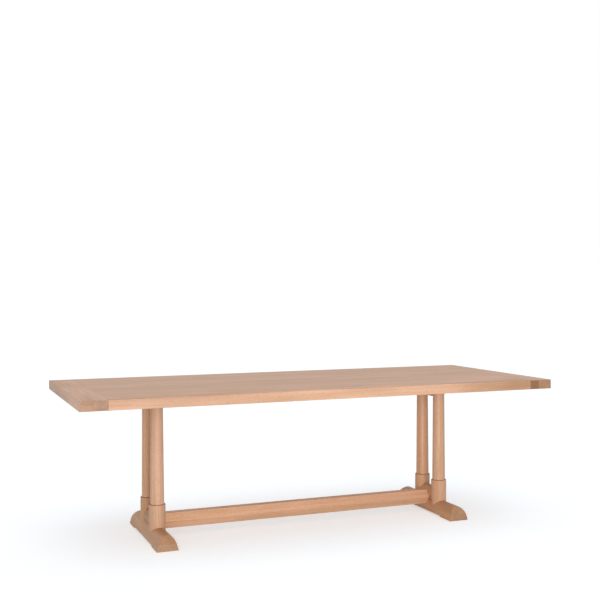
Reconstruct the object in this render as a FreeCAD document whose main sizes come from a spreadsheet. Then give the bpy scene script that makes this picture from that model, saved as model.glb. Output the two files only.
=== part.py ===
"""Trestle dining table with two pairs of turned columns, a long hexagonal stretcher and a staved top.

Frame: millimetres, +X along the table, +Y across it, +Z up, origin on the floor at the table's middle.
Each sub-part is a PartDesign body with its own sketches, driven by the sheet called Sizes.
"""

import FreeCAD, Part
import math
import os
import re
import Sketcher

# Driving sizes: name, value in millimetres (or a plain count), and what it measures.
SIZES = (
    ("table_length", 2500, "over both breadboard ends"),
    ("table_width", 1030, "across the boards"),
    ("table_height", 765, "floor to the top's upper face"),
    ("top_thickness", 48, "boards and breadboard ends alike"),
    ("board_count", 7, "boards glued edge to edge"),
    ("cleat_width", 130, "one breadboard end, both staves"),
    ("inner_stave", 52, "width of the grooved stave of a breadboard end"),
    ("tongue_thickness", 14, "tongue on the boards' ends"),
    ("tongue_length", 25, "how far the tongue stands out of the boards"),
    ("tongue_shoulder", 45, "from the table's long edge to where the tongue starts"),
    ("groove_spare", 1, "how much deeper and longer the groove is than the tongue"),
    ("edge_ease", 2, "radius on the top's outer edges"),
    ("seam_vee", 0.6, "chamfer along the seam between boards and breadboard ends"),
    ("peg_radius", 5, "wooden pegs through the tongue"),
    ("peg_length", 32, "blind pegs driven from below"),
    ("peg_inset", 12, "from the seam to the pegs"),
    ("peg_slot", 6, "how far an outer peg can travel in its slot, each way"),
    ("trestle_inset", 447, "from the table's end to the nearer trestle's middle"),
    ("column_spacing", 187, "between the two columns of a trestle"),
    ("column_base", 35.4, "column radius where it leaves the collar"),
    ("column_neck", 31.6, "column radius under the bearer"),
    ("column_vee", 1.5, "small chamfer that makes the shadow line on the collar"),
    ("spigot_radius", 20, "turned spigot that goes through the collar into the foot"),
    ("spigot_depth", 46, "how far the spigot goes into the foot"),
    ("tenon_radius", 16, "turned tenon at the column's top"),
    ("tenon_spare", 1, "from the tenon's tip to the underside of the top"),
    ("collar_radius", 42, "turned collar round the column's base"),
    ("collar_height", 184, "floor to the collar's top"),
    ("collar_ease", 3, "radius on the collar's top edge"),
    ("foot_length", 628, "across the table"),
    ("foot_width", 109, "at the floor"),
    ("foot_height", 72, "floor to the ridge"),
    ("foot_round", 45, "radius of the foot's rounded ridge"),
    ("foot_rise", 31, "upright part of the foot's end"),
    ("foot_slope", 35, "how far the sloping part of the end runs back"),
    ("foot_knee", 14, "radius where the upright end turns into the slope"),
    ("foot_ease", 2, "radius on the arris round each end of the foot"),
    ("foot_pad", 112, "length of each end that stands on the floor"),
    ("foot_relief", 6, "height of the hollow between the two ends"),
    ("spreader_width", 66, "bar between the two collars, where it is widest"),
    ("spreader_axis", 90, "floor to the spreader's widest place"),
    ("spreader_round", 24, "radius of the spreader's rounded top"),
    ("spreader_top", 137, "floor to the spreader's top"),
    ("spreader_tenon", 11, "radius of the spreader's end tenons"),
    ("spreader_reach", 14, "how far those tenons go into the collars"),
    ("rail_radius", 27, "turned rail between the columns' tops, slimmer than they are"),
    ("rail_drop", 46, "underside of the top to the rail's middle"),
    ("rail_tenon", 8, "radius of the rail's end tenons"),
    ("rail_reach", 12, "how far those tenons go into the columns"),
    ("bearer_length", 620, "across the underside of the top"),
    ("bearer_width", 100, "along the table"),
    ("bearer_thickness", 24, "at the columns"),
    ("bearer_tip", 14, "thickness at the bearer's tips"),
    ("bearer_taper", 70, "length of the thinned tips"),
    ("bearer_ease", 3, "radius on the bearer's long lower edges"),
    ("stretcher_depth", 78, "across the flats of the hexagon"),
    ("stretcher_axis", 77, "floor to the stretcher's middle"),
    ("stretcher_ease", 3, "radius on the stretcher's edges and round its ends"),
    ("tenon_axis", 96, "floor to the middle of the stretcher's end tenons"),
    ("stretcher_tenon_width", 24, "end tenon, across the table"),
    ("stretcher_tenon_height", 32, "end tenon, upright"),
    ("stretcher_tenon_length", 30, "end tenon, along the table"),
    ("bolt_radius", 4, "M8 bolts"),
    ("head_radius", 6.5, "socket cap head"),
    ("head_height", 8, "socket cap head"),
    ("hex_key", 6, "across the flats of the socket"),
    ("hex_depth", 4, "depth of the socket"),
    ("washer_radius", 12, "plain washer"),
    ("washer_thickness", 1.6, "plain washer"),
    ("insert_radius", 6, "threaded insert in the boards"),
    ("insert_length", 20, "threaded insert in the boards"),
    ("top_bolt_reach", 16, "bolt inside the threaded insert"),
    ("bolt_offset", 28, "outer bolts, to each side of the bearer's middle line"),
    ("bolt_row_outer", 250, "outer bolts, from the bearer's middle"),
    ("bolt_row_inner", 150, "inner bolts, from the bearer's middle"),
    ("slot_travel", 6, "how far a bolt can travel in its slot, each way"),
    ("counterbore_radius", 13, "recess for the stretcher bolt's head"),
    ("counterbore_depth", 18, "from the spreader's outer face, with room for a wooden plug"),
    ("nut_radius", 7, "barrel nut"),
    ("nut_length", 28, "barrel nut"),
    ("nut_inset", 35, "from the stretcher's shoulder to the barrel nut"),
    ("bore_spare", 5, "how far the bolt's bore runs past the barrel nut"),
    ("fit", 0.1, "radial clearance of a turned tenon or a bolt's thread"),
    ("bolt_clearance", 0.5, "radial clearance of a bolt in its hole"),
)
NAMES = {name for name, size, note in SIZES}

# Places that several pieces share, as expressions on the sheet.
SEAM = "(table_length / 2 - cleat_width)"
UNDERSIDE = "(table_height - top_thickness)"
BOARD = "(table_width / board_count)"
PEG_ROW = f"((board_count - 3) / 2 * {BOARD})"
BEARER_UNDERSIDE = f"({UNDERSIDE} - bearer_thickness)"
RAIL_AXIS = f"({UNDERSIDE} - rail_drop)"
TONGUE_TOP = "((top_thickness + tongue_thickness) / 2)"
TRESTLE = "(table_length / 2 - trestle_inset)"
SHOULDER = f"({TRESTLE} - spreader_width / 2)"
NUT_PLACE = f"({SHOULDER} - nut_inset)"
BOLT_SEAT = f"({TRESTLE} + spreader_width / 2 - counterbore_depth)"
PLUG_SEAT = f"({BOLT_SEAT} + washer_thickness + head_height)"

OVERSHOOT = 5.0  # how far a cutting outline runs past the wood it cuts
CLOSE = 0.01  # how near an edge lies to a plane to count as being in it

doc = FreeCAD.newDocument("trestle_table")
sheet = doc.addObject("Spreadsheet::Sheet", "Sizes")
for row, (name, size, note) in enumerate(SIZES, 1):
    sheet.set(f"A{row}", name)
    sheet.set(f"B{row}", str(size))
    sheet.set(f"C{row}", note)
    sheet.setAlias(f"B{row}", name)
doc.recompute()


def formula(text):
    """Put the sheet's name in front of each size that an expression names."""
    return re.sub(r"[a-z_]+", lambda word: ("Sizes." if word[0] in NAMES else "") + word[0], text)


def value(text):
    """Work an expression out as a plain number."""
    return float(sheet.evalExpression(formula(text)))


def new_body(label):
    """Start a sub-part, which may be a group of separate solids."""
    body = doc.addObject("PartDesign::Body", label)
    body.Label = label
    body.AllowCompound = True
    return body


def place(body, across="0", along="0", height="0", turned=False):
    """Put a finished sub-part where it belongs, turned half round about Z if asked."""
    half_turn = FreeCAD.Rotation(FreeCAD.Vector(0, 0, 1), 180 if turned else 0)
    body.Placement = FreeCAD.Placement(FreeCAD.Vector(), half_turn)
    body.setExpression("Placement.Base.x", formula(across))
    body.setExpression("Placement.Base.y", formula(along))
    body.setExpression("Placement.Base.z", formula(height))


def sketch_on(body, name, role, offset="0"):
    """Add a sketch on one of a body's origin planes, moved along that plane's normal."""
    plane = next(feature for feature in body.Origin.OriginFeatures if feature.Role == role)
    sketch = body.newObject("Sketcher::SketchObject", f"{body.Name}_{name}")
    sketch.AttachmentSupport = [(plane, "")]
    sketch.MapMode = "FlatFace"
    sketch.setExpression("AttachmentOffset.Base.z", formula(offset))
    return sketch


def measure(sketch, constraint, text):
    """Add a dimension to a sketch and bind it to an expression."""
    index = sketch.addConstraint(constraint)
    sketch.setExpression(f"Constraints[{index}]", formula(text))


def pin(sketch, shape, point, across, up):
    """Fix a point of a sketch at two expressions, measured from the sketch's origin."""
    for kind, axis, text in (("DistanceX", -2, across), ("DistanceY", -1, up)):
        if text == "0":
            sketch.addConstraint(Sketcher.Constraint("PointOnObject", shape, point, axis))
        else:
            measure(sketch, Sketcher.Constraint(kind, -1, 1, shape, point, value(text)), text)


def draw_polygon(sketch, corners):
    """Draw a closed outline of straight lines through corners, each a pair of expressions."""
    first = sketch.GeometryCount
    count = len(corners)
    spots = [FreeCAD.Vector(value(across), value(up), 0) for across, up in corners]
    for index in range(count):
        sketch.addGeometry(Part.LineSegment(spots[index], spots[(index + 1) % count]))
    for index, (across, up) in enumerate(corners):
        following = first + (index + 1) % count
        sketch.addConstraint(Sketcher.Constraint("Coincident", first + index, 2, following, 1))
        pin(sketch, first + index, 1, across, up)


def draw_rectangle(sketch, left, low, right, high):
    """Draw a rectangle between two corners."""
    draw_polygon(sketch, ((left, low), (right, low), (right, high), (left, high)))


def draw_circle(sketch, across, up, radius):
    """Draw a circle about a centre."""
    centre = FreeCAD.Vector(value(across), value(up), 0)
    circle = sketch.addGeometry(Part.Circle(centre, FreeCAD.Vector(0, 0, 1), value(radius)))
    pin(sketch, circle, 3, across, up)
    measure(sketch, Sketcher.Constraint("Radius", circle, value(radius)), radius)


def draw_slot(sketch, across, up, travel, radius):
    """Draw a slot with round ends, long in the sketch's second direction."""
    first = sketch.GeometryCount
    high = f"{up} + {travel}"
    low = f"{up} - {travel}"
    for middle, start in ((high, 0), (low, math.pi)):
        centre = FreeCAD.Vector(value(across), value(middle), 0)
        circle = Part.Circle(centre, FreeCAD.Vector(0, 0, 1), value(radius))
        sketch.addGeometry(Part.ArcOfCircle(circle, start, start + math.pi))
    left = value(across) - value(radius)
    right = value(across) + value(radius)
    for x, begin, finish in ((left, high, low), (right, low, high)):
        ends = [FreeCAD.Vector(x, value(spot), 0) for spot in (begin, finish)]
        sketch.addGeometry(Part.LineSegment(ends[0], ends[1]))
    ring = (first, first + 2, first + 1, first + 3)
    for index, piece in enumerate(ring):
        sketch.addConstraint(Sketcher.Constraint("Tangent", piece, 2, ring[(index + 1) % 4], 1))
    pin(sketch, first, 3, across, high)
    pin(sketch, first + 1, 3, across, low)
    measure(sketch, Sketcher.Constraint("Radius", first, value(radius)), radius)


def draw_hexagon(sketch, across, up, flats):
    """Draw a regular hexagon with two level flats, sized across its flats."""
    half = f"{flats} / 2"
    corner = f"{flats} / sqrt(3)"
    side = f"{flats} / sqrt(12)"
    steps = ((corner, "0"), (side, half), (f"-{side}", half))
    ring = steps + ((f"-{corner}", "0"), (f"-{side}", f"-{half}"), (side, f"-{half}"))
    draw_polygon(sketch, [(f"{across} + ({x})", f"{up} + ({y})") for x, y in ring])


def draw_foot_section(sketch, middle, gap):
    """Draw the foot's cross-section, a rounded ridge on splayed sides, grown by a gap."""
    radius = f"(foot_round + {gap})"
    half = f"(foot_width / 2 + {gap})"
    rise = "(foot_height - foot_round)"
    reach = math.hypot(value(half), value(rise))
    turn = math.asin(value(radius) / reach)
    start = math.pi / 2 - turn - math.atan2(value(rise), value(half))
    centre = FreeCAD.Vector(value(middle), value(rise), 0)
    right = centre + value(radius) * FreeCAD.Vector(math.cos(start), math.sin(start), 0)
    left = centre + value(radius) * FreeCAD.Vector(-math.cos(start), math.sin(start), 0)
    corners = [FreeCAD.Vector(value(middle) + sign * value(half), 0, 0) for sign in (-1, 1)]
    base = sketch.addGeometry(Part.LineSegment(corners[0], corners[1]))
    right_side = sketch.addGeometry(Part.LineSegment(corners[1], right))
    ridge = Part.Circle(centre, FreeCAD.Vector(0, 0, 1), value(radius))
    arc = sketch.addGeometry(Part.ArcOfCircle(ridge, start, math.pi - start))
    left_side = sketch.addGeometry(Part.LineSegment(left, corners[0]))
    sketch.addConstraint(Sketcher.Constraint("Coincident", base, 2, right_side, 1))
    sketch.addConstraint(Sketcher.Constraint("Coincident", left_side, 2, base, 1))
    sketch.addConstraint(Sketcher.Constraint("Tangent", right_side, 2, arc, 1))
    sketch.addConstraint(Sketcher.Constraint("Tangent", arc, 2, left_side, 1))
    pin(sketch, base, 1, f"{middle} - {half}", "0")
    pin(sketch, base, 2, f"{middle} + {half}", "0")
    pin(sketch, arc, 3, middle, rise)
    measure(sketch, Sketcher.Constraint("Radius", arc, value(radius)), radius)


def draw_spreader_section(sketch, middle):
    """Draw the spreader's cross-section: a rounded top on bulging sides that reach into the foot."""
    half = "(spreader_width / 2)"
    rise = "(spreader_top - spreader_round - spreader_axis)"
    flank = f"(({half} ^ 2 + {rise} ^ 2 - spreader_round ^ 2) / (2 * ({half} - spreader_round)))"
    low = "(foot_height - spreader_round)"
    upward = FreeCAD.Vector(0, 0, 1)
    joint = math.atan2(value(rise), value(flank) - value(half))
    start = math.asin((value(low) - value("spreader_axis")) / value(flank))
    shift = value(flank) - value(half)
    centres = [FreeCAD.Vector(value(middle) - sign * shift, value("spreader_axis"), 0) for sign in (1, -1)]
    crown = FreeCAD.Vector(value(middle), value("spreader_axis") + value(rise), 0)
    right_flank = Part.Circle(centres[0], upward, value(flank))
    left_flank = Part.Circle(centres[1], upward, value(flank))
    top = Part.Circle(crown, upward, value("spreader_round"))
    right = sketch.addGeometry(Part.ArcOfCircle(right_flank, start, joint))
    arc = sketch.addGeometry(Part.ArcOfCircle(top, joint, math.pi - joint))
    left = sketch.addGeometry(Part.ArcOfCircle(left_flank, math.pi - joint, math.pi - start))
    reach = value(flank) * math.cos(start) - shift
    ends = [FreeCAD.Vector(value(middle) + sign * reach, value(low), 0) for sign in (-1, 1)]
    base = sketch.addGeometry(Part.LineSegment(ends[0], ends[1]))
    sketch.addConstraint(Sketcher.Constraint("Tangent", right, 2, arc, 1))
    sketch.addConstraint(Sketcher.Constraint("Tangent", arc, 2, left, 1))
    sketch.addConstraint(Sketcher.Constraint("Coincident", left, 2, base, 1))
    sketch.addConstraint(Sketcher.Constraint("Coincident", base, 2, right, 1))
    pin(sketch, arc, 3, middle, f"spreader_axis + {rise}")
    measure(sketch, Sketcher.Constraint("Radius", arc, value("spreader_round")), "spreader_round")
    for side in (right, left):
        measure(sketch, Sketcher.Constraint("Radius", side, value(flank)), flank)
        measure(sketch, Sketcher.Constraint("DistanceY", -1, 1, side, 3, value("spreader_axis")), "spreader_axis")
        end = 1 if side == right else 2
        measure(sketch, Sketcher.Constraint("DistanceY", -1, 1, side, end, value(low)), low)


def grow(body, sketch, length, reverse=False, both=False):
    """Pad a sketch along its plane's normal, the other way, or half each way."""
    feature = body.newObject("PartDesign::Pad", f"{sketch.Name}_pad")
    feature.Profile = sketch
    feature.setExpression("Length", formula(length))
    feature.Reversed = reverse
    feature.SideType = "Symmetric" if both else "One side"
    doc.recompute()
    return feature


def cut(body, sketch, length=None, reverse=False, both=False):
    """Pocket a sketch against its plane's normal, to a depth or right through."""
    before = body.Shape.Volume
    feature = body.newObject("PartDesign::Pocket", f"{sketch.Name}_cut")
    feature.Profile = sketch
    if length:
        feature.setExpression("Length", formula(length))
    else:
        feature.Type = "ThroughAll"
    feature.Reversed = reverse
    feature.SideType = "Symmetric" if both else "One side"
    doc.recompute()
    if body.Shape.Volume >= before:
        raise RuntimeError(f"{feature.Name} cuts nothing")
    return feature


def turn_about_z(body, sketch):
    """Revolve a sketch of the XZ plane about the body's Z axis."""
    feature = body.newObject("PartDesign::Revolution", f"{sketch.Name}_turned")
    feature.Profile = sketch
    feature.ReferenceAxis = (sketch, ["V_Axis"])
    feature.Angle = 360
    doc.recompute()
    return feature


def edges_in(feature, **planes):
    """Name a feature's edges that lie in all the given planes, such as x=40."""
    names = []
    for number, edge in enumerate(feature.Shape.Edges, 1):
        box = edge.BoundBox
        spans = {"x": (box.XMin, box.XMax), "y": (box.YMin, box.YMax), "z": (box.ZMin, box.ZMax)}
        ends = [abs(end - spot) for axis, spot in planes.items() for end in spans[axis]]
        if max(ends) < CLOSE:
            names.append(f"Edge{number}")
    return names


def ease(body, edges, size, kind="Fillet"):
    """Round or chamfer edges of the body's last feature."""
    last = body.Tip
    feature = body.newObject(f"PartDesign::{kind}", f"{body.Name}_{kind.lower()}")
    feature.Base = (last, edges)
    feature.setExpression("Radius" if kind == "Fillet" else "Size", formula(size))
    doc.recompute()
    return feature


def bolt_places():
    """Give the places of a bearer's six bolts, from the bearer's middle."""
    outer = [(f"{x}bolt_offset", f"{y}bolt_row_outer") for x in ("-", "") for y in ("-", "")]
    return outer + [("0", "-bolt_row_inner"), ("0", "bolt_row_inner")]


def overlaps(middle, half, low, high):
    """Say whether a hole of a given half-width reaches between two lines."""
    return middle + half > low and middle - half < high


def make_top_board(number):
    """Make one board: plank, end tongues, peg slots and holes for the threaded inserts."""
    board = new_body(f"top_board_{number}")
    outline = sketch_on(board, "outline", "XY_Plane")
    draw_rectangle(outline, f"-{SEAM}", f"-{BOARD} / 2", SEAM, f"{BOARD} / 2")
    plank = grow(board, outline, "top_thickness")

    first = number == 1
    final = number == int(value("board_count"))
    length = value(SEAM)
    thickness = value("top_thickness")
    vee_edges = []
    for x in (-length, length):
        vee_edges += edges_in(plank, x=x, z=thickness) + edges_in(plank, x=x, z=0)
    ease(board, vee_edges, "seam_vee", "Chamfer")
    if first or final:
        y = value(f"{BOARD} / 2") * (-1 if first else 1)
        outer = edges_in(board.Tip, y=y, z=thickness) + edges_in(board.Tip, y=y, z=0)
        ease(board, outer, "edge_ease")

    tongue = sketch_on(board, "tongue", "XY_Plane", f"{TONGUE_TOP} - tongue_thickness")
    near = f"tongue_shoulder - {BOARD} / 2" if first else f"-{BOARD} / 2"
    far = f"{BOARD} / 2 - tongue_shoulder" if final else f"{BOARD} / 2"
    reach = f"{SEAM} + tongue_length"
    draw_rectangle(tongue, f"-({reach})", near, reach, far)
    grow(board, tongue, "tongue_thickness")

    middle = f"(({number} - (board_count + 1) / 2) * {BOARD})"
    low = value(f"{middle} + ({near})")
    high = value(f"{middle} + ({far})")
    for peg, travel in ((f"-{PEG_ROW}", "peg_slot"), ("0", "0"), (PEG_ROW, "peg_slot")):
        if not overlaps(value(peg), value(f"peg_radius + {travel}"), low, high):
            continue
        slots = sketch_on(board, f"peg_slots_{len(board.Group)}", "XY_Plane", TONGUE_TOP)
        for side in ("-", ""):
            across = f"{side}({SEAM} + peg_inset)"
            if travel == "0":
                draw_circle(slots, across, f"{peg} - {middle}", "peg_radius")
            else:
                draw_slot(slots, across, f"({peg} - {middle})", travel, "peg_radius")
        cut(board, slots, "tongue_thickness")

    low = value(f"{middle} - {BOARD} / 2")
    high = value(f"{middle} + {BOARD} / 2")
    within = [spot for spot in bolt_places() if overlaps(value(spot[1]), value("insert_radius"), low, high)]
    if within:
        holes = sketch_on(board, "insert_holes", "XY_Plane", "insert_length")
        for side in ("-", ""):
            for across, along in within:
                draw_circle(holes, f"{side}{TRESTLE} + ({across})", f"{along} - {middle}", "insert_radius")
        cut(board, holes, "insert_length")
    place(board, along=middle, height=UNDERSIDE)
    return board


def make_cleat_staves(side, turned):
    """Make the two glued staves of one breadboard end; the inner one is grooved and pegged."""
    sign = "-" if turned else ""
    inner = new_body(f"cleat_{side}_inner")
    outline = sketch_on(inner, "outline", "XY_Plane")
    draw_rectangle(outline, "0", "-table_width / 2", "inner_stave", "table_width / 2")
    stave = grow(inner, outline, "top_thickness")
    half = value("table_width / 2")
    thickness = value("top_thickness")
    ends = [edges_in(stave, y=y, z=z) for y in (-half, half) for z in (0, thickness)]
    ease(inner, sum(ends, []), "edge_ease")
    seam = edges_in(inner.Tip, x=0, z=thickness) + edges_in(inner.Tip, x=0, z=0)
    ease(inner, seam, "seam_vee", "Chamfer")
    groove = sketch_on(inner, "groove", "XY_Plane", TONGUE_TOP)
    depth = "tongue_length + groove_spare"
    reach = "(table_width / 2 - tongue_shoulder + groove_spare)"
    draw_rectangle(groove, f"-{OVERSHOOT}", f"-{reach}", depth, reach)
    cut(inner, groove, "tongue_thickness")
    holes = sketch_on(inner, "peg_holes", "XY_Plane", "peg_length")
    for along in (f"-{PEG_ROW}", "0", PEG_ROW):
        draw_circle(holes, "peg_inset", along, "peg_radius")
    cut(inner, holes, "peg_length")
    place(inner, f"{sign}{SEAM}", height=UNDERSIDE, turned=turned)

    outer = new_body(f"cleat_{side}_outer")
    outline = sketch_on(outer, "outline", "XY_Plane")
    draw_rectangle(outline, "inner_stave", "-table_width / 2", "cleat_width", "table_width / 2")
    stave = grow(outer, outline, "top_thickness")
    rim = [edges_in(stave, y=y, z=z) for y in (-half, half) for z in (0, thickness)]
    rim += [edges_in(stave, x=value("cleat_width"), z=z) for z in (0, thickness)]
    rim += [edges_in(stave, x=value("cleat_width"), y=y) for y in (-half, half)]
    ease(outer, sum(rim, []), "edge_ease")
    place(outer, f"{sign}{SEAM}", height=UNDERSIDE, turned=turned)

    pegs = new_body(f"cleat_{side}_pegs")
    rounds = sketch_on(pegs, "rounds", "XY_Plane")
    for along in (f"-{PEG_ROW}", "0", PEG_ROW):
        draw_circle(rounds, "peg_inset", along, "peg_radius")
    grow(pegs, rounds, "peg_length")
    place(pegs, f"{sign}{SEAM}", height=UNDERSIDE, turned=turned)
    return [inner, outer, pegs]


def make_foot(side, sign):
    """Make one foot: a rounded bar with sloped ends, hollowed below, bored for the columns."""
    foot = new_body(f"{side}_foot")
    section = sketch_on(foot, "section", "XZ_Plane")
    draw_foot_section(section, "0", "0")
    grow(foot, section, "foot_length", both=True)

    slopes = sketch_on(foot, "slopes", "YZ_Plane")
    high = f"foot_height + {OVERSHOOT}"
    for hand in ("-", ""):
        end = f"{hand}foot_length / 2"
        past = f"{hand}(foot_length / 2 + {OVERSHOOT})"
        back = f"{hand}(foot_length / 2 - foot_slope)"
        slope = ((back, "foot_height"), (end, "foot_rise"))
        draw_polygon(slopes, slope + ((past, "foot_rise"), (past, high), (back, high)))
    cut(foot, slopes, both=True)
    ends = (-value("foot_length / 2"), value("foot_length / 2"))
    knees = [edges_in(foot.Tip, y=y, z=value("foot_rise")) for y in ends]
    ease(foot, sum(knees, []), "foot_knee")
    arrises = sum([edges_in(foot.Tip, y=y) for y in ends], [])
    upright = [name for name in arrises if foot.Tip.Shape.getElement(name).BoundBox.ZLength > CLOSE]
    ease(foot, upright, "foot_ease")

    relief = sketch_on(foot, "relief", "YZ_Plane")
    pad = "(foot_length / 2 - foot_pad)"
    shoulder = f"({pad} - foot_relief)"
    low = f"-{OVERSHOOT}"
    upper = ((shoulder, "foot_relief"), (f"-{shoulder}", "foot_relief"))
    draw_polygon(relief, ((f"-{pad}", "0"), (f"-{pad}", low), (pad, low), (pad, "0")) + upper)
    cut(foot, relief, both=True)

    mortises = sketch_on(foot, "mortises", "XY_Plane", "foot_height - spigot_depth")
    for hand in ("-", ""):
        draw_circle(mortises, "0", f"{hand}column_spacing / 2", "spigot_radius + fit")
    cut(foot, mortises, reverse=True)
    place(foot, f"{sign}{TRESTLE}")
    return foot


def make_collar(side, end, sign, hand):
    """Make one turned collar, bored for the column's spigot and coped over the foot."""
    collar = new_body(f"{side}_collar_{end}")
    profile = sketch_on(collar, "profile", "XZ_Plane")
    low = "foot_height - foot_round"
    draw_rectangle(profile, "spigot_radius + fit", low, "collar_radius", "collar_height")
    turned = turn_about_z(collar, profile)
    rim = edges_in(turned, z=value("collar_height"))
    wide = [name for name in rim if turned.Shape.getElement(name).Curve.Radius > value("spigot_radius + fit")]
    ease(collar, wide, "collar_ease")
    cope = sketch_on(collar, "cope", "XZ_Plane")
    draw_foot_section(cope, "0", "fit")
    cut(collar, cope, both=True)
    mortise = sketch_on(collar, "mortise", "XZ_Plane", "spreader_reach + fit - collar_radius")
    draw_circle(mortise, "0", "spreader_axis", "spreader_tenon + fit")
    cut(collar, mortise)
    place(collar, f"{sign}{TRESTLE}", f"{hand}column_spacing / 2", turned=hand == "")
    return collar


def make_column(side, end, sign, hand):
    """Make one turned column: spigot, tapered shaft and top tenon, bored for the rail."""
    column = new_body(f"{side}_column_{end}")
    profile = sketch_on(column, "profile", "XZ_Plane")
    tip = f"{UNDERSIDE} - tenon_spare"
    bottom = "foot_height - spigot_depth"
    spigot = (("0", bottom), ("spigot_radius", bottom), ("spigot_radius", "collar_height"))
    base = (("column_base - column_vee", "collar_height"), ("column_base", "collar_height + column_vee"))
    neck = (("column_neck", BEARER_UNDERSIDE), ("tenon_radius", BEARER_UNDERSIDE))
    draw_polygon(profile, spigot + base + neck + (("tenon_radius", tip), ("0", tip)))
    turn_about_z(column, profile)
    mortise = sketch_on(column, "mortise", "XZ_Plane", "rail_reach + fit - column_neck")
    draw_circle(mortise, "0", RAIL_AXIS, "rail_tenon + fit")
    cut(column, mortise)
    place(column, f"{sign}{TRESTLE}", f"{hand}column_spacing / 2", turned=hand == "")
    return column


def make_spreader(side, sign, turned):
    """Make the shaped bar between two collars, coped over the foot and mortised for the stretcher."""
    spreader = new_body(f"{side}_spreader")
    bar = sketch_on(spreader, "bar", "XZ_Plane")
    draw_spreader_section(bar, "0")
    grow(spreader, bar, "column_spacing", both=True)
    ridge = sketch_on(spreader, "foot_cope", "XZ_Plane")
    draw_foot_section(ridge, "0", "fit")
    cut(spreader, ridge, both=True)
    copes = sketch_on(spreader, "copes", "XY_Plane")
    for hand in ("-", ""):
        draw_circle(copes, "0", f"{hand}column_spacing / 2", "collar_radius + fit")
    cut(spreader, copes, both=True)
    tenons = sketch_on(spreader, "tenons", "XZ_Plane")
    draw_circle(tenons, "0", "spreader_axis", "spreader_tenon")
    grow(spreader, tenons, "column_spacing - 2 * (collar_radius - spreader_reach)", both=True)

    depth = "stretcher_tenon_length + groove_spare"
    mortise = sketch_on(spreader, "mortise", "YZ_Plane", f"{depth} - spreader_width / 2")
    half = "stretcher_tenon_width / 2"
    low = "tenon_axis - stretcher_tenon_height / 2"
    high = "tenon_axis + stretcher_tenon_height / 2"
    draw_rectangle(mortise, f"-{half}", low, half, high)
    cut(spreader, mortise)
    hole = sketch_on(spreader, "bolt_hole", "YZ_Plane")
    draw_circle(hole, "0", "tenon_axis", "bolt_radius + bolt_clearance")
    cut(spreader, hole, both=True)
    recess = sketch_on(spreader, "counterbore", "YZ_Plane", "spreader_width / 2 - counterbore_depth")
    draw_circle(recess, "0", "tenon_axis", "counterbore_radius")
    cut(spreader, recess, reverse=True)
    place(spreader, f"{sign}{TRESTLE}", turned=turned)
    return spreader


def make_head_rail(side, sign):
    """Make the turned rail between the columns' tops, planed flat where it meets the bearer."""
    rail = new_body(f"{side}_head_rail")
    bar = sketch_on(rail, "bar", "XZ_Plane")
    draw_circle(bar, "0", RAIL_AXIS, "rail_radius")
    grow(rail, bar, "column_spacing", both=True)
    flat = sketch_on(rail, "flat", "XZ_Plane")
    draw_rectangle(flat, "-rail_radius", BEARER_UNDERSIDE, "rail_radius", UNDERSIDE)
    cut(rail, flat, both=True)
    copes = sketch_on(rail, "copes", "XY_Plane")
    rise = f"({BEARER_UNDERSIDE} - {RAIL_AXIS} + rail_radius) / ({BEARER_UNDERSIDE} - collar_height)"
    radius = f"column_neck + (column_base - column_neck) * {rise} + fit"
    for hand in ("-", ""):
        draw_circle(copes, "0", f"{hand}column_spacing / 2", radius)
    cut(rail, copes, both=True)
    tenons = sketch_on(rail, "tenons", "XZ_Plane")
    draw_circle(tenons, "0", RAIL_AXIS, "rail_tenon")
    grow(rail, tenons, "column_spacing - 2 * (column_neck - rail_reach)", both=True)
    place(rail, f"{sign}{TRESTLE}")
    return rail


def make_bearer(side, sign):
    """Make the bearer under the top: thinned tips, mortises and slots that let the top move."""
    bearer = new_body(f"{side}_bearer")
    profile = sketch_on(bearer, "profile", "YZ_Plane")
    half = "bearer_length / 2"
    flat = "(bearer_length / 2 - bearer_taper)"
    tip = f"{UNDERSIDE} - bearer_tip"
    upper = ((half, UNDERSIDE), (f"-{half}", UNDERSIDE), (f"-{half}", tip))
    lower = ((f"-{flat}", BEARER_UNDERSIDE), (flat, BEARER_UNDERSIDE), (half, tip))
    draw_polygon(profile, upper + lower)
    beam = grow(bearer, profile, "bearer_width", both=True)
    edges = []
    for x in (-value("bearer_width / 2"), value("bearer_width / 2")):
        edges += edges_in(beam, x=x, z=value(BEARER_UNDERSIDE))
    ease(bearer, edges, "bearer_ease")
    mortises = sketch_on(bearer, "mortises", "XY_Plane")
    for hand in ("-", ""):
        draw_circle(mortises, "0", f"{hand}column_spacing / 2", "tenon_radius + fit")
    cut(bearer, mortises, reverse=True)
    slots = sketch_on(bearer, "slots", "XY_Plane")
    for across, along in bolt_places():
        draw_slot(slots, across, along, "slot_travel", "bolt_radius + bolt_clearance")
    cut(bearer, slots, reverse=True)
    place(bearer, f"{sign}{TRESTLE}")
    return bearer


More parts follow.
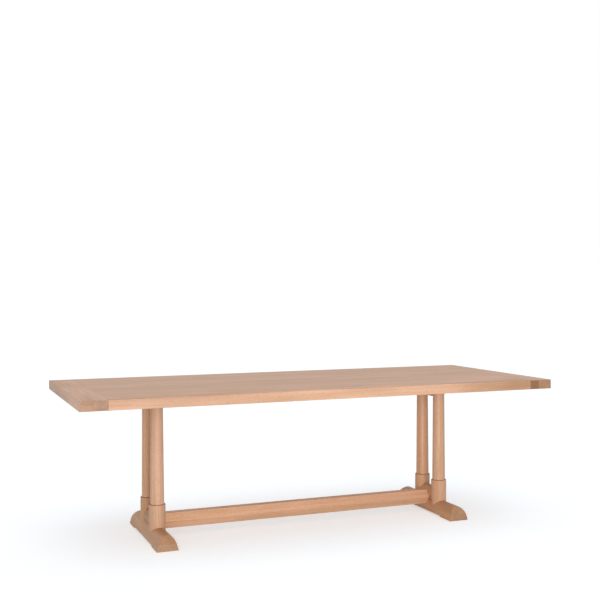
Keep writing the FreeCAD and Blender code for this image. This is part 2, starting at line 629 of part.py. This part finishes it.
def make_top_fasteners(side, sign):
    """Make one bearer's bolts, washers and threaded inserts, each as one group of solids."""
    seat = f"({BEARER_UNDERSIDE} - washer_thickness)"
    bolts = new_body(f"{side}_top_bolts")
    heads = sketch_on(bolts, "heads", "XY_Plane", f"{seat} - head_height")
    shanks = sketch_on(bolts, "shanks", "XY_Plane", seat)
    sockets = sketch_on(bolts, "sockets", "XY_Plane", f"{seat} - head_height + hex_depth")
    washers = new_body(f"{side}_top_washers")
    rings = sketch_on(washers, "rings", "XY_Plane", seat)
    inserts = new_body(f"{side}_threaded_inserts")
    sleeves = sketch_on(inserts, "sleeves", "XY_Plane", UNDERSIDE)
    for across, along in bolt_places():
        draw_circle(heads, across, along, "head_radius")
        draw_circle(shanks, across, along, "bolt_radius")
        draw_hexagon(sockets, across, along, "hex_key")
        draw_circle(rings, across, along, "washer_radius")
        draw_circle(rings, across, along, "bolt_radius + fit")
        draw_circle(sleeves, across, along, "insert_radius")
        draw_circle(sleeves, across, along, "bolt_radius + fit")
    grow(bolts, heads, "head_height")
    grow(bolts, shanks, "washer_thickness + bearer_thickness + top_bolt_reach")
    cut(bolts, sockets, "hex_depth")
    grow(washers, rings, "washer_thickness")
    grow(inserts, sleeves, "insert_length")
    for body in (bolts, washers, inserts):
        place(body, f"{sign}{TRESTLE}")
    return [bolts, washers, inserts]


def make_stretcher():
    """Make the hexagonal stretcher: end tenons, copes over the feet, bolt and barrel nut holes."""
    stretcher = new_body("stretcher")
    section = sketch_on(stretcher, "section", "YZ_Plane")
    draw_hexagon(section, "0", "stretcher_axis", "stretcher_depth")
    bar = grow(stretcher, section, f"2 * {SHOULDER}", both=True)
    ease(stretcher, [f"Edge{number}" for number in range(1, len(bar.Shape.Edges) + 1)], "stretcher_ease")
    copes = sketch_on(stretcher, "foot_copes", "XZ_Plane")
    for hand in ("-", ""):
        draw_foot_section(copes, f"{hand}{TRESTLE}", "fit")
    cut(stretcher, copes, both=True)
    tenon = sketch_on(stretcher, "tenons", "YZ_Plane")
    half = "stretcher_tenon_width / 2"
    low = "tenon_axis - stretcher_tenon_height / 2"
    high = "tenon_axis + stretcher_tenon_height / 2"
    draw_rectangle(tenon, f"-{half}", low, half, high)
    grow(stretcher, tenon, f"2 * ({SHOULDER} + stretcher_tenon_length)", both=True)
    for hand, toward_right in (("-", False), ("", True)):
        name = "right" if toward_right else "left"
        bore = sketch_on(stretcher, f"{name}_bore", "YZ_Plane", f"{hand}({NUT_PLACE} - nut_radius - bore_spare)")
        draw_circle(bore, "0", "tenon_axis", "bolt_radius + bolt_clearance")
        cut(stretcher, bore, reverse=toward_right)
    nuts = sketch_on(stretcher, "nut_holes", "XY_Plane", "tenon_axis + nut_length / 2")
    for hand in ("-", ""):
        draw_circle(nuts, f"{hand}{NUT_PLACE}", "0", "nut_radius + fit")
    cut(stretcher, nuts)
    return stretcher


def make_stretcher_fasteners():
    """Make the two stretcher bolts, their washers, their barrel nuts and the plugs that hide them."""
    bolts = new_body("stretcher_bolts")
    washers = new_body("stretcher_washers")
    seat = f"({BOLT_SEAT} + washer_thickness)"
    for hand, right in (("-", False), ("", True)):
        name = "right" if right else "left"
        head = sketch_on(bolts, f"{name}_head", "YZ_Plane", f"{hand}{seat}")
        draw_circle(head, "0", "tenon_axis", "head_radius")
        grow(bolts, head, "head_height", reverse=not right)
        shank = sketch_on(bolts, f"{name}_shank", "YZ_Plane", f"{hand}{seat}")
        draw_circle(shank, "0", "tenon_axis", "bolt_radius")
        grow(bolts, shank, f"{seat} - {NUT_PLACE} + nut_radius", reverse=right)
        socket = sketch_on(bolts, f"{name}_socket", "YZ_Plane", f"{hand}({seat} + head_height - hex_depth)")
        draw_hexagon(socket, "0", "tenon_axis", "hex_key")
        cut(bolts, socket, "hex_depth", reverse=right)
        ring = sketch_on(washers, f"{name}_ring", "YZ_Plane", f"{hand}{BOLT_SEAT}")
        draw_circle(ring, "0", "tenon_axis", "washer_radius")
        draw_circle(ring, "0", "tenon_axis", "bolt_radius + fit")
        grow(washers, ring, "washer_thickness", reverse=not right)
    nuts = new_body("stretcher_barrel_nuts")
    rounds = sketch_on(nuts, "rounds", "XY_Plane", "tenon_axis - nut_length / 2")
    for hand in ("-", ""):
        draw_circle(rounds, f"{hand}{NUT_PLACE}", "0", "nut_radius")
    grow(nuts, rounds, "nut_length")
    threads = sketch_on(nuts, "threads", "YZ_Plane")
    draw_circle(threads, "0", "tenon_axis", "bolt_radius + fit")
    cut(nuts, threads, both=True)
    plugs = new_body("stretcher_plugs")
    for hand, right in (("-", False), ("", True)):
        disc = sketch_on(plugs, "right_disc" if right else "left_disc", "YZ_Plane", f"{hand}{PLUG_SEAT}")
        draw_circle(disc, "0", "tenon_axis", "counterbore_radius - fit")
        grow(plugs, disc, "counterbore_depth", reverse=not right)
    trim = sketch_on(plugs, "trim", "XZ_Plane")
    for hand in ("-", ""):
        middle = f"{hand}{TRESTLE}"
        draw_rectangle(trim, f"{middle} - spreader_width", "0", f"{middle} + spreader_width", "collar_height")
        draw_spreader_section(trim, middle)
    cut(plugs, trim, both=True)
    return [bolts, washers, nuts, plugs]


def make_trestle(side, sign):
    """Make one trestle's pieces."""
    pieces = [make_foot(side, sign)]
    for end, hand in (("front", "-"), ("rear", "")):
        pieces.append(make_collar(side, end, sign, hand))
        pieces.append(make_column(side, end, sign, hand))
    pieces.append(make_spreader(side, sign, turned=sign == "-"))
    pieces.append(make_head_rail(side, sign))
    pieces.append(make_bearer(side, sign))
    return pieces + make_top_fasteners(side, sign)


def check(pieces):
    """Stop if any feature failed or any sub-part is empty or broken."""
    for item in doc.Objects:
        if "Invalid" in item.State or "Error" in item.State:
            raise RuntimeError(f"{item.Name} failed: {item.State}")
    for piece in pieces:
        if piece.Shape.isNull() or not piece.Shape.isValid() or not piece.Shape.Solids:
            raise RuntimeError(f"{piece.Label} has no good shape")


subparts = [make_top_board(number) for number in range(1, int(value("board_count")) + 1)]
subparts += make_cleat_staves("left", True) + make_cleat_staves("right", False)
subparts += make_trestle("left", "-") + make_trestle("right", "")
subparts.append(make_stretcher())
subparts += make_stretcher_fasteners()
doc.recompute()
check(subparts)

os.makedirs("parts", exist_ok=True)
for subpart in subparts:
    subpart.Shape.exportStep(f"parts/{subpart.Label}.step")
print(len(subparts), "sub-parts written")
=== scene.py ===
"""Oak trestle dining table: the looks of its pieces and a plain studio round it.

Metres, +X along the table, +Y across it, +Z up, origin on the floor under the table's middle.
"""

import math
import random
from functools import partial
from typing import NamedTuple

import bpy
from mathutils import Euler, Matrix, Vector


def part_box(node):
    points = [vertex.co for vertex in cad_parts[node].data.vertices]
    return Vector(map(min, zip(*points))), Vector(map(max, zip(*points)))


bl_info = {
    "name": "Oak trestle table",
    "version": (1, 0, 0),
    "blender": (4, 5, 0),
    "location": "3D View > Sidebar > Table",
    "description": "Finishes a trestle dining table in oiled oak and sets up a plain studio",
    "category": "Object",
}

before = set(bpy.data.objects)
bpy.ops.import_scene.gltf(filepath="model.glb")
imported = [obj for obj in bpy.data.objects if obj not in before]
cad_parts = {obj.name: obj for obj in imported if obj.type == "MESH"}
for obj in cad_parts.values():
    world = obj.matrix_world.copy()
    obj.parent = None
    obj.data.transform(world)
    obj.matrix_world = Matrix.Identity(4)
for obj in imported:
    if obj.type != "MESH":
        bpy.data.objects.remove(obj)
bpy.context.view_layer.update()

MM = 0.001
# How a piece's grain is turned to lie along the pattern's first axis.
TURN = {"X": (0, 0, 0), "Y": (0, 0, -math.pi / 2), "Z": (0, math.pi / 2, 0)}
SIDES = ("left", "right")
ENDS = ("front", "rear")
FLOOR_WIDTH = 400  # metres, so that the floor's edge never shows
FLOOR_DROP = 0.0005  # metres, so that the soles and the floor never coincide


class Tone(NamedTuple):
    """How the wood of one piece differs from the common oak.

    `light` and `warmth` tint it, `end_light` and `end_warmth` tint its end grain, `drift` is how much its
    colour changes along the trunk, and `place` is where along the trunk it was cut, in millimetres, or None
    for a place drawn from the piece's name. The values were fitted by measure under this studio's lamps.
    They stand for boards of different colour, but part of them makes up for light that the lamps don't give,
    most of all on the stretcher and the left spreader.
    """

    light: float = 1.0
    warmth: float = 0.0
    end_light: float = 1.0
    end_warmth: float = 0.0
    drift: float = 0.35
    place: float | None = None


# Painted light and shade: besides each piece's own wood colour, part of these tints stands in for light and
# shade that the lamps don't give, most of all on the stretcher and the left spreader.
TONES = {
    # The drift and place of the front board and of the left end's outer stave are set, not drawn, so that the
    # front edge is darker towards both ends and the left end face darker towards the rear.
    "top_board_1": Tone(1.06, 0.02, drift=1.0, place=47400),
    "top_board_2": Tone(1.02),
    "cleat_left_outer": Tone(1.1, end_light=0.93, drift=1.0, place=42700),
    "cleat_left_inner": Tone(end_light=0.82),
    "cleat_right_inner": Tone(1.0, 0.05, end_light=0.72, end_warmth=0.25),
    "left_column_rear": Tone(1.14, 0.1),
    "right_column_front": Tone(1.06, 0.03),
    "right_column_rear": Tone(1.06, 0.14),
    "left_collar_front": Tone(0.94, 0.02),
    "left_collar_rear": Tone(1.04, 0.16),
    "right_collar_front": Tone(1.03, 0.06),
    "right_collar_rear": Tone(1.04, 0.12),
    "left_spreader": Tone(0.78, 0.34),
    "right_spreader": Tone(1.0, 0.2),
    "left_foot": Tone(0.96, 0.24, end_light=1.1, end_warmth=-0.3, drift=0.7),
    "right_foot": Tone(0.95, 0.22, end_light=1.2, end_warmth=-0.35, drift=0.7),
    "stretcher": Tone(1.18, 0.05),
    "stretcher_plugs": Tone(0.75, 0.2),
}


def linear(code):
    """Turn an sRGB hex colour into linear red, green and blue."""
    parts = [int(code[place : place + 2], 16) / 255 for place in (1, 3, 5)]
    return tuple(p / 12.92 if p <= 0.04045 else ((p + 0.055) / 1.055) ** 2.4 for p in parts)


def colour(name, description, code):
    """A colour that a user can change."""
    return bpy.props.FloatVectorProperty(
        name=name, description=description, default=linear(code), subtype="COLOR", size=3, min=0, max=1
    )


def length(name, description, millimetres):
    """A length that a user can change."""
    return bpy.props.FloatProperty(
        name=name, description=description, default=millimetres * MM, unit="LENGTH", min=0, precision=4
    )


class OakFinish(bpy.types.PropertyGroup):
    """Colours and grain sizes of the oiled oak."""

    pale: colour("Pale wood", "Late wood between the pores, planed and oiled", "#dfb594")
    brown: colour("Brown wood", "Early wood and darker streaks", "#ba8760")
    rosy: colour("Rosy wood", "Pinkish streaks along the grain", "#ddac91")
    pore: colour("Pores", "Open pores that hold oil and shade", "#8a5c3c")
    fleck: colour("Ray flecks", "Rays that shine on quarter-sawn faces", "#e8c5a2")
    drift: colour("Drift", "What the darker stretches of a board take away from the colour", "#dad4c8")
    end: colour("End grain", "What end grain takes away from the colour, by soaking up oil", "#cfc7bd")
    ring: length("Ring width", "One year's growth", 3.4)
    pore_length: length("Pore length", "A pore cut lengthwise, drawn twice as long as it is", 16)
    pore_width: length("Pore width", "A pore's width, drawn three times as wide as it is", 1.1)
    ray_height: length("Ray height", "A ray's height along the grain", 11)


class StudioSettings(bpy.types.PropertyGroup):
    """The camera, the lamps and the floor."""

    camera_place: bpy.props.FloatVectorProperty(
        name="Camera",
        description="Where the camera stands",
        default=(-1.9235, -4.8612, 1.2813),
        unit="LENGTH",
    )
    heading: bpy.props.FloatProperty(
        name="Heading", description="Turn from +Y towards +X", default=0.37793, subtype="ANGLE"
    )
    tilt: bpy.props.FloatProperty(
        name="Tilt", description="How far the camera looks down", default=0.016515, subtype="ANGLE"
    )
    roll: bpy.props.FloatProperty(
        name="Roll", description="Turn about the line of sight", default=-0.0029477, subtype="ANGLE"
    )
    lens: bpy.props.FloatProperty(
        name="Lens", description="Focal length on a 36 mm wide sensor", default=58.332, unit="CAMERA"
    )
    daylight: bpy.props.FloatProperty(
        name="Daylight", description="Light from all round", default=0.45, min=0
    )
    front: bpy.props.FloatProperty(
        name="Front", description="Power of the soft box in front", default=165, unit="POWER", min=0
    )
    left: bpy.props.FloatProperty(name="Left", description="Light from the left", default=0.35, min=0)
    top: bpy.props.FloatProperty(name="Top", description="Light from above", default=0.5, min=0)
    glow: bpy.props.FloatProperty(
        name="Glow", description="How bright the floor looks by itself", default=0.54, min=0, max=1
    )


def add_node(tree, kind, *values, named=None, **settings):
    """Add a node, set its properties, then fill its open sockets in order or by name.

    A value is a number, a colour, a node, whose first open output is taken, or one of a node's outputs.
    """
    made = tree.nodes.new(f"ShaderNode{kind}")
    for name, setting in settings.items():
        setattr(made, name, setting)
    pairs = [*zip([socket for socket in made.inputs if socket.enabled], values)]
    pairs += [(made.inputs[name], value) for name, value in (named or {}).items()]
    for socket, value in pairs:
        if isinstance(value, bpy.types.Node):
            value = next(output for output in value.outputs if output.enabled)
        if isinstance(value, bpy.types.NodeSocket):
            tree.links.new(value, socket)
        else:
            socket.default_value = value
    return made


def empty_material(name):
    """Start a material with no nodes."""
    material = bpy.data.materials.new(name)
    material.use_nodes = True
    material.node_tree.nodes.clear()
    return material


def tinted(light, warmth):
    """Make a colour to multiply by: `light` scales it, and `warmth` takes blue and some green out of it."""
    return (light, light * (1 - warmth / 3), light * (1 - warmth), 1)


def oak(piece, finish, grain, pith, rosiness=0.5):
    """Planed and oiled oak, as a solid pattern that every face of a piece cuts through.

    Oak is ring-porous: each year starts with a row of open pores and ends in dense pale wood. Rays run
    out from the pith and show as flecks where a face is quarter-sawn. Oil leaves it matt. `pith` is how far
    the trunk's middle lies from the piece's, and noise lengths are millimetres along and across the grain.
    """
    tone = TONES.get(piece, Tone())
    material = empty_material(f"oiled_oak_{piece}")
    node = partial(add_node, material.node_tree)
    turn = Euler(TURN[grain])
    low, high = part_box(piece)
    middle = (low + high) / 2 / MM
    middle.rotate(turn)
    along = random.Random(piece).uniform(-3000, 3000) if tone.place is None else tone.place
    shift = (along, -pith[0] - middle.y, -pith[1] - middle.z)
    coords = node("TexCoord")
    local = node("Mapping", coords.outputs["Object"], shift, turn, (1 / MM,) * 3)

    # The trunk was never quite straight, so the rings wander along the grain.
    wander = node("TexNoise", node("VectorMath", local, (1 / 620, 1 / 95, 1 / 95), operation="MULTIPLY"), 1.0)
    wander = node("VectorMath", wander.outputs["Color"], (0.5,) * 3, operation="SUBTRACT")
    wander = node("VectorMath", wander, (0, 34, 34), operation="MULTIPLY")
    bent = node("VectorMath", local, wander, operation="ADD")
    parts = node("SeparateXYZ", bent)
    radius = node("VectorMath", bent, (0, 1, 1), operation="MULTIPLY")
    radius = node("VectorMath", radius, operation="LENGTH")
    angle = node("Math", parts.outputs[2], parts.outputs[1], operation="ARCTAN2")

    # Growth rings, some years wider than others. Early wood fades into late wood and stops at the next year.
    years = node("Math", radius, finish.ring / MM, operation="DIVIDE")
    uneven = node("VectorMath", bent, (1 / 2400, 1 / 21, 1 / 21), operation="MULTIPLY")
    years = node("Math", node("TexNoise", uneven, 1.0), 3.0, years, operation="MULTIPLY_ADD")
    phase = node("Math", years, operation="FRACT")
    early = node("MapRange", phase, 0.34, 0.0)
    early = node("Math", early, node("MapRange", phase, 0.9, 1.0), operation="MAXIMUM")

    # Streaks, changes of hue and fibres.
    streaks = node("VectorMath", bent, (1 / 900, 1 / 11, 1 / 11), operation="MULTIPLY")
    streaks = node("TexNoise", streaks, 1.0, 3.0, 0.62)
    hue = node("VectorMath", bent, (1 / 700, 1 / 42, 1 / 42), operation="MULTIPLY")
    hue = node("TexNoise", hue, 1.0, 2.0)
    fibres = node("VectorMath", bent, (1 / 55, 1 / 1.3, 1 / 1.3), operation="MULTIPLY")
    fibres = node("TexNoise", fibres, 1.0, 2.0, 0.6)

    # A board's colour drifts slowly along the trunk.
    slow = node("VectorMath", local, (1 / 520, 1 / 130, 1 / 130), operation="MULTIPLY")
    slow = node("MapRange", node("TexNoise", slow, 1.0, 1.0), 0.35, 0.65, 0.0, tone.drift)

    # Pores.
    slim = MM / finish.pore_width
    pores = node("VectorMath", bent, (MM / finish.pore_length, slim, slim), operation="MULTIPLY")
    pores = node("MapRange", node("TexNoise", pores, 1.0, 0.0), 0.6, 0.72)
    pores = node("Math", pores, node("MapRange", early, 0.0, 1.0, 0.25, 1.0), operation="MULTIPLY")

    # Rays stand as thin sheets along the radius.
    around = node("Math", angle, math.hypot(*pith), operation="MULTIPLY")
    rays = node("CombineXYZ", parts.outputs[0], around, radius)
    rays = node("VectorMath", rays, (MM / finish.ray_height, 1 / 0.9, 1 / 26), operation="MULTIPLY")
    rays = node("MapRange", node("TexNoise", rays, 1.0, 1.0), 0.6, 0.7)

    dark = node("MapRange", streaks, 0.28, 0.72, 0.0, 0.55)
    dark = node("Math", early, 0.22, dark, operation="MULTIPLY_ADD")
    dark = node("Math", node("MapRange", fibres, 0.25, 0.75), 0.25, dark, operation="MULTIPLY_ADD")
    layers = (
        (dark, finish.brown),
        (node("MapRange", hue, 0.35, 0.65, 0.0, rosiness), finish.rosy),
        (node("Math", rays, 0.35, operation="MULTIPLY"), finish.fleck),
        (node("Math", pores, 0.6, operation="MULTIPLY"), finish.pore),
    )
    wood = (*finish.pale, 1)
    for share, layer in layers:
        wood = node("Mix", share, wood, (*layer, 1), data_type="RGBA")

    # End grain soaks up more oil, so it is darker.
    axis = {"X": (1, 0, 0), "Y": (0, 1, 0), "Z": (0, 0, 1)}[grain]
    facing = node("VectorMath", coords.outputs["Normal"], axis, operation="DOT_PRODUCT")
    facing = node("MapRange", node("Math", facing, operation="ABSOLUTE"), 0.45, 0.85)
    end_tint = tinted(tone.end_light, tone.end_warmth)
    end = (*[soaked * part for soaked, part in zip(finish.end, end_tint)], 1)
    tint = tinted(tone.light, tone.warmth)
    for share, kept in ((slow, (*finish.drift, 1)), (facing, end), (1.0, tint)):
        wood = node("Mix", share, wood, kept, data_type="RGBA", blend_type="MULTIPLY")

    grooves = node("Math", fibres, 0.5, operation="MULTIPLY")
    height = node("Math", pores, -1.0, grooves, operation="MULTIPLY_ADD")
    bump = node("Bump", named={"Height": height, "Distance": 0.18 * MM, "Strength": 0.6})
    rough = node("MapRange", streaks, 0.3, 0.7, 0.44, 0.56)
    surface = node(
        "BsdfPrincipled", named={"Base Color": wood, "Roughness": rough, "IOR": 1.5, "Normal": bump}
    )
    node("OutputMaterial", surface)
    return material


def give(node, material):
    """Put a material on a carried-over node."""
    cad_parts[node].material_slots[0].material = material


class TABLE_OT_top_boards(bpy.types.Operator):
    """Give each board of the top its own long-grain oak"""

    bl_idname = "table.top_boards"
    bl_label = "Top boards"

    def execute(self, context):
        finish = context.scene.oak_finish
        boards = sorted(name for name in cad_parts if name.startswith("top_board_"))
        for name in boards:
            chance = random.Random(name)
            pith = (chance.uniform(-60, 60), chance.choice((-1, 1)) * chance.uniform(70, 150))
            rosiness = chance.uniform(0.3, 0.9)
            give(name, oak(name, finish, "X", pith, rosiness))
        return {"FINISHED"}


class TABLE_OT_breadboard_ends(bpy.types.Operator):
    """Give the staves of the breadboard ends oak that runs across the table"""

    bl_idname = "table.breadboard_ends"
    bl_label = "Breadboard ends"

    def execute(self, context):
        finish = context.scene.oak_finish
        for side in SIDES:
            for part in ("inner", "outer"):
                name = f"cleat_{side}_{part}"
                chance = random.Random(name)
                pith = (chance.uniform(-30, 30), chance.choice((-1, 1)) * chance.uniform(40, 80))
                give(name, oak(name, finish, "Y", pith))
            name = f"cleat_{side}_pegs"
            give(name, oak(name, finish, "Z", (30, 10)))
        return {"FINISHED"}


class TABLE_OT_turned_parts(bpy.types.Operator):
    """Give the turned columns, collars, spreaders and rails oak that runs along their axes"""

    bl_idname = "table.turned_parts"
    bl_label = "Turned parts"

    def execute(self, context):
        finish = context.scene.oak_finish
        for side in SIDES:
            for end in ENDS:
                for part in ("collar", "column"):
                    name = f"{side}_{part}_{end}"
                    chance = random.Random(name)
                    pith = (chance.uniform(40, 90), chance.uniform(-60, 60))
                    give(name, oak(name, finish, "Z", pith))
            for part in ("spreader", "head_rail"):
                name = f"{side}_{part}"
                give(name, oak(name, finish, "Y", (50, 30)))
        give("stretcher_plugs", oak("stretcher_plugs", finish, "Y", (50, 30)))
        return {"FINISHED"}


class TABLE_OT_planed_parts(bpy.types.Operator):
    """Give the feet, the bearers and the stretcher their oak"""

    bl_idname = "table.planed_parts"
    bl_label = "Feet, bearers and stretcher"

    def execute(self, context):
        finish = context.scene.oak_finish
        for side in SIDES:
            for part in ("foot", "bearer"):
                name = f"{side}_{part}"
                give(name, oak(name, finish, "Y", (35, -75)))
        give("stretcher", oak("stretcher", finish, "X", (30, 70)))
        return {"FINISHED"}


class TABLE_OT_fasteners(bpy.types.Operator):
    """Give the bolts, washers, inserts and barrel nuts bright zinc plate"""

    bl_idname = "table.fasteners"
    bl_label = "Fasteners"

    def execute(self, context):
        # Zinc plate on steel is a bluish grey with a fine cloudy grain, and its metal keeps a soft gloss.
        material = empty_material("zinc_plated_steel")
        node = partial(add_node, material.node_tree)
        cloud = node("TexNoise", node("TexCoord").outputs["Object"], 900.0, 3.0)
        tint = node(
            "Mix", cloud, (*linear("#a9adb2"), 1), (*linear("#d3d6d8"), 1), data_type="RGBA"
        )
        rough = node("MapRange", cloud, 0.0, 1.0, 0.28, 0.45)
        steel = node("BsdfPrincipled", named={"Base Color": tint, "Roughness": rough, "Metallic": 1.0})
        node("OutputMaterial", steel)
        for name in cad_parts:
            if name.endswith(("bolts", "washers", "inserts", "nuts")):
                give(name, material)
        return {"FINISHED"}


class TABLE_OT_studio(bpy.types.Operator):
    """Add the floor, the white surroundings, the lamps and the camera"""

    bl_idname = "table.studio"
    bl_label = "Studio"

    def execute(self, context):
        studio = context.scene.studio_settings
        ground = self.floor(studio)
        self.surroundings(context, studio)
        front = self.soft_box("front_light", studio.front, place=(-1.0, -5.1, 0.85), size=2.6)
        left = self.lamp("left_light", studio.left, heading=-80, height=5, spread=60)
        self.lamp("top_light", studio.top, heading=0, height=80, spread=60)
        for low_lamp in (front, left):
            self.flag_off(low_lamp, ground)
        self.camera(context, studio)
        context.scene.view_settings.view_transform = "Standard"
        return {"FINISHED"}

    def seen_directly(self, node):
        """One where a ray comes from the camera, a reflection or through glass, and nought elsewhere."""
        path = node("LightPath").outputs
        either = node("Math", path["Is Camera Ray"], path["Is Glossy Ray"], operation="MAXIMUM")
        return node("Math", either, path["Is Transmission Ray"], operation="MAXIMUM")

    def floor(self, studio):
        """White paper that looks plain white wherever the table casts no shadow on it."""
        bpy.ops.object.select_all(action="DESELECT")
        bpy.ops.mesh.primitive_plane_add(size=FLOOR_WIDTH, location=(0, 0, -FLOOR_DROP))
        ground = bpy.context.object
        ground.name = "studio_floor"
        material = empty_material("white_studio_paper")
        node = partial(add_node, material.node_tree)
        # An even glow lifts the lit paper to white. The shade in it is the shadow that daylight and the top
        # lamp leave, and the cool paper takes up some of the brown light that the wood throws down.
        glow = node("Math", self.seen_directly(node), studio.glow, operation="MULTIPLY")
        paper = node("BsdfDiffuse", (*linear("#e6f0f8"), 1))
        node("OutputMaterial", node("AddShader", paper, node("Emission", (1, 1, 1, 1), glow)))
        ground.data.materials.append(material)
        return ground

    def surroundings(self, context, studio):
        """Even white light from all round, and plain white where it is looked at."""
        world = bpy.data.worlds.new("white_studio")
        world.use_nodes = True
        context.scene.world = world
        world.node_tree.nodes.clear()
        node = partial(add_node, world.node_tree)
        strength = node("MapRange", self.seen_directly(node), 0.0, 1.0, studio.daylight, 1.0)
        node("OutputWorld", node("Background", (1, 1, 1, 1), strength))

    def lamp(self, name, strength, heading, height, spread):
        """A wide soft lamp, far off. All three angles are in degrees, the heading from front to right."""
        bpy.ops.object.light_add(type="SUN")
        lamp = bpy.context.object
        lamp.name = name
        lamp.data.energy = strength
        lamp.data.angle = math.radians(spread)
        lamp.rotation_euler = Euler((math.radians(90 - height), 0, math.radians(heading)))
        return lamp

    def soft_box(self, name, power, place, size):
        """A square soft box that faces the table from the front."""
        bpy.ops.object.light_add(type="AREA", location=place)
        lamp = bpy.context.object
        lamp.name = name
        lamp.data.energy = power
        lamp.data.size = size
        lamp.rotation_euler = Euler((math.pi / 2, 0, 0))
        lamp.visible_camera = False
        return lamp

    def flag_off(self, lamp, ground):
        """Link a low lamp past the floor.

        The floor gets neither light nor a shadow from it, and doesn't block it.
        """
        flagged = bpy.data.collections.new(f"{lamp.name}_flagged_off")
        flagged.objects.link(ground)
        flagged.collection_objects[0].light_linking.link_state = "EXCLUDE"
        lamp.light_linking.receiver_collection = flagged
        lamp.light_linking.blocker_collection = flagged

    def camera(self, context, studio):
        bpy.ops.object.camera_add(location=studio.camera_place)
        camera = bpy.context.object
        camera.name = "studio_camera"
        turn = Euler((math.pi / 2 - studio.tilt, 0, -studio.heading)).to_matrix()
        camera.rotation_euler = (turn @ Matrix.Rotation(studio.roll, 3, "Z")).to_euler()
        camera.data.sensor_width = 36
        camera.data.lens = studio.lens
        context.scene.camera = camera


class TABLE_PT_build(bpy.types.Panel):
    """Lists the steps of finishing the table"""

    bl_idname = "TABLE_PT_build"
    bl_label = "Oak trestle table"
    bl_space_type = "VIEW_3D"
    bl_region_type = "UI"
    bl_category = "Table"

    def draw(self, context):
        column = self.layout.column()
        for step in STEPS:
            column.operator(step.bl_idname)
        for group in (context.scene.oak_finish, context.scene.studio_settings):
            box = self.layout.box()
            for name in group.__annotations__:
                box.prop(group, name)


STEPS = (
    TABLE_OT_top_boards,
    TABLE_OT_breadboard_ends,
    TABLE_OT_turned_parts,
    TABLE_OT_planed_parts,
    TABLE_OT_fasteners,
    TABLE_OT_studio,
)
CLASSES = (OakFinish, StudioSettings, *STEPS, TABLE_PT_build)


def register():
    for item in CLASSES:
        bpy.utils.register_class(item)
    bpy.types.Scene.oak_finish = bpy.props.PointerProperty(type=OakFinish)
    bpy.types.Scene.studio_settings = bpy.props.PointerProperty(type=StudioSettings)


def unregister():
    del bpy.types.Scene.studio_settings
    del bpy.types.Scene.oak_finish
    for item in reversed(CLASSES):
        bpy.utils.unregister_class(item)


def main():
    """Register the add-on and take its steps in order."""
    register()
    bpy.ops.table.top_boards()
    bpy.ops.table.breadboard_ends()
    bpy.ops.table.turned_parts()
    bpy.ops.table.planed_parts()
    bpy.ops.table.fasteners()
    bpy.ops.table.studio()


if __name__ == "__main__":
    main()
